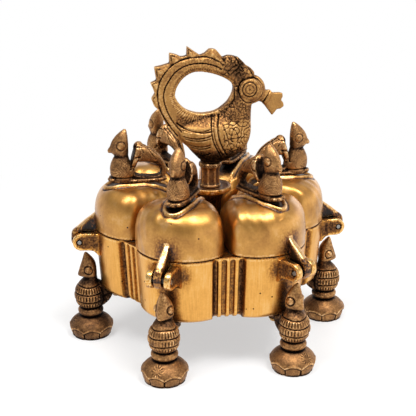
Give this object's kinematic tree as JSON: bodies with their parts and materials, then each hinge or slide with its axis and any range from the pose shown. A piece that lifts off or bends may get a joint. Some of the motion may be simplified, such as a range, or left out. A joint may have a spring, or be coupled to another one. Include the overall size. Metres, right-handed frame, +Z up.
{
  "type": "sindoor box",
  "caption": "Lobed cast brass box on beaded bird legs, with hinged domed lids topped by small birds and a ringed peacock standing as the handle in the middle.",
  "frame": {"origin": "on the surface that the feet stand on, under the axis of the central stem", "axes": "+X the way the peacock faces and the direction of lobe 1, +Z up along the stem, +Y to the peacock's left"},
  "size_m": [0.1198, 0.1056, 0.1205],
  "materials": {
    "polished_brass": "hand-polished cast brass, warm gold, dark in its grooves",
    "dark_brass": "cast brass with brown patina, rubbed bright on its edges",
    "fixing_brass": "plain machined brass",
    "pin_steel": "dull grey steel"
  },
  "bodies": {
    "box_body": {"cup_tray": "polished_brass", "hinge_pin_1": "pin_steel", "hinge_pin_2": "pin_steel", "hinge_pin_3": "pin_steel", "hinge_pin_4": "pin_steel", "hinge_pin_5": "pin_steel", "hinge_pin_6": "pin_steel", "leg_1": "dark_brass", "leg_2": "dark_brass", "leg_3": "dark_brass", "leg_4": "dark_brass", "leg_5": "dark_brass", "leg_6": "dark_brass", "leg_rivet_1": "fixing_brass", "leg_rivet_2": "fixing_brass", "leg_rivet_3": "fixing_brass", "leg_rivet_4": "fixing_brass", "leg_rivet_5": "fixing_brass", "leg_rivet_6": "fixing_brass", "stem_disc": "polished_brass", "stem_washer": "fixing_brass", "stem_nut": "fixing_brass", "peacock_stem": "dark_brass", "peacock": "dark_brass"},
    "lid_1_body": {"lid_1": "polished_brass", "lid_bird_1": "dark_brass", "bird_screw_1": "fixing_brass"},
    "lid_2_body": {"lid_2": "polished_brass", "lid_bird_2": "dark_brass", "bird_screw_2": "fixing_brass"},
    "lid_3_body": {"lid_3": "polished_brass", "lid_bird_3": "dark_brass", "bird_screw_3": "fixing_brass"},
    "lid_4_body": {"lid_4": "polished_brass", "lid_bird_4": "dark_brass", "bird_screw_4": "fixing_brass"},
    "lid_5_body": {"lid_5": "polished_brass", "lid_bird_5": "dark_brass", "bird_screw_5": "fixing_brass"},
    "lid_6_body": {"lid_6": "polished_brass", "lid_bird_6": "dark_brass", "bird_screw_6": "fixing_brass"}
  },
  "joints": [
    {"name": "lid_1_hinge", "type": "hinge", "parent": "box_body", "child": "lid_1_body", "pos_m": [0.0545, 0, 0.0428], "axis": [0, 1, 0], "range_deg": [0, 170]},
    {"name": "lid_2_hinge", "type": "hinge", "parent": "box_body", "child": "lid_2_body", "pos_m": [0.02725, 0.0472, 0.0428], "axis": [-0.866, 0.5, 0], "range_deg": [0, 170]},
    {"name": "lid_3_hinge", "type": "hinge", "parent": "box_body", "child": "lid_3_body", "pos_m": [-0.02725, 0.0472, 0.0428], "axis": [-0.866, -0.5, 0], "range_deg": [0, 170]},
    {"name": "lid_4_hinge", "type": "hinge", "parent": "box_body", "child": "lid_4_body", "pos_m": [-0.0545, 0, 0.0428], "axis": [0, -1, 0], "range_deg": [0, 170]},
    {"name": "lid_5_hinge", "type": "hinge", "parent": "box_body", "child": "lid_5_body", "pos_m": [-0.02725, -0.0472, 0.0428], "axis": [0.866, -0.5, 0], "range_deg": [0, 170]},
    {"name": "lid_6_hinge", "type": "hinge", "parent": "box_body", "child": "lid_6_body", "pos_m": [0.02725, -0.0472, 0.0428], "axis": [0.866, 0.5, 0], "range_deg": [0, 170]}
  ]
}
